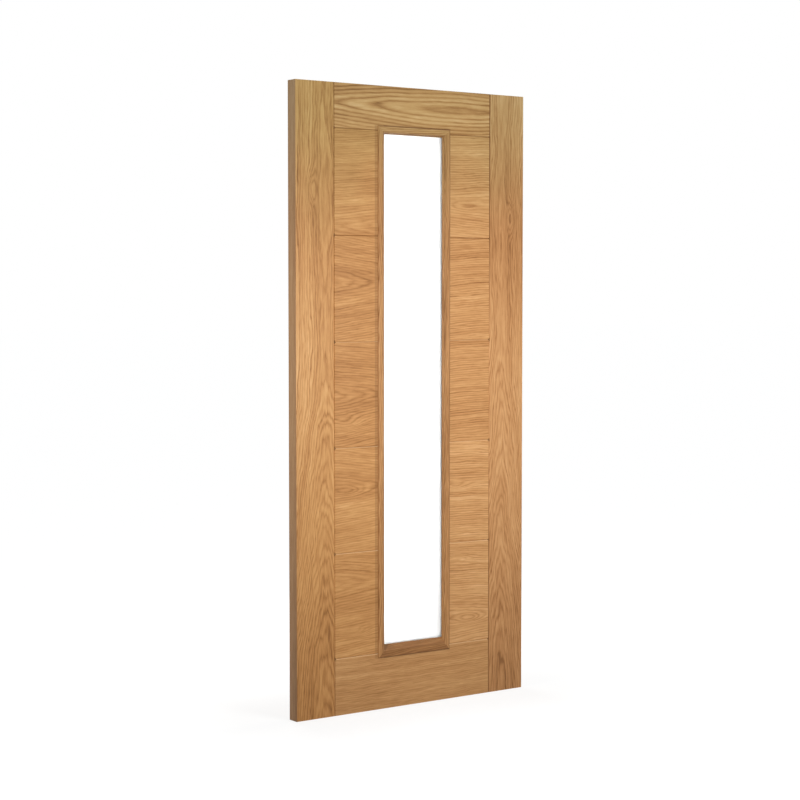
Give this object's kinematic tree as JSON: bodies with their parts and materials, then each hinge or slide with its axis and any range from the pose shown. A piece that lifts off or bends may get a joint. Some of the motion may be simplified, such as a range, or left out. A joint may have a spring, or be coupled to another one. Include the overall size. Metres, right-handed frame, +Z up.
{
  "type": "glazed door leaf",
  "caption": "Flush oak door leaf: stiles, rails and stacked V-grooved panels round a tall central light, glazed with a sealed satin glass unit held by proud mitred beads.",
  "frame": {"origin": "foot of the hinge edge, at the middle of the leaf's thickness", "axes": "+X across the leaf from the hinge edge to the lock edge, +Y from the front face to the back, +Z up"},
  "size_m": [0.926, 0.052, 2.04],
  "materials": {
    "oak_stile": "oak veneer, upright grain, satin lacquer",
    "oak_rail": "oak veneer, level grain, satin lacquer",
    "oak_panel": "oak veneer, level grain, satin lacquer",
    "oak_lipping": "solid oak, upright grain, satin lacquer",
    "oak_bead": "solid oak, grain along each bead, satin lacquer",
    "satin_glass": "satin etched, translucent",
    "clear_glass": "clear, polished",
    "glazing_tape": "white foam tape",
    "spacer_metal": "bright drawn aluminium"
  },
  "bodies": {
    "root": {"hinge_edge_lipping": "oak_lipping", "lock_edge_lipping": "oak_lipping", "hinge_stile": "oak_stile", "lock_stile": "oak_stile", "top_rail": "oak_rail", "bottom_rail": "oak_rail", "front_glass_pane": "satin_glass", "back_glass_pane": "clear_glass", "hinge_side_panel_1": "oak_panel", "lock_side_panel_1": "oak_panel", "hinge_side_panel_2": "oak_panel", "lock_side_panel_2": "oak_panel", "hinge_side_panel_3": "oak_panel", "lock_side_panel_3": "oak_panel", "hinge_side_panel_4": "oak_panel", "lock_side_panel_4": "oak_panel", "hinge_side_panel_5": "oak_panel", "lock_side_panel_5": "oak_panel", "front_bead_top": "oak_bead", "front_tape_top": "glazing_tape", "front_bead_bottom": "oak_bead", "front_tape_bottom": "glazing_tape", "front_bead_hinge_side": "oak_bead", "front_tape_hinge_side": "glazing_tape", "front_bead_lock_side": "oak_bead", "front_tape_lock_side": "glazing_tape", "back_bead_top": "oak_bead", "back_tape_top": "glazing_tape", "back_bead_bottom": "oak_bead", "back_tape_bottom": "glazing_tape", "back_bead_hinge_side": "oak_bead", "back_tape_hinge_side": "glazing_tape", "back_bead_lock_side": "oak_bead", "back_tape_lock_side": "glazing_tape", "glass_spacer_top": "spacer_metal", "glass_spacer_bottom": "spacer_metal", "glass_spacer_hinge_side": "spacer_metal", "glass_spacer_lock_side": "spacer_metal"}
  },
  "joints": []
}
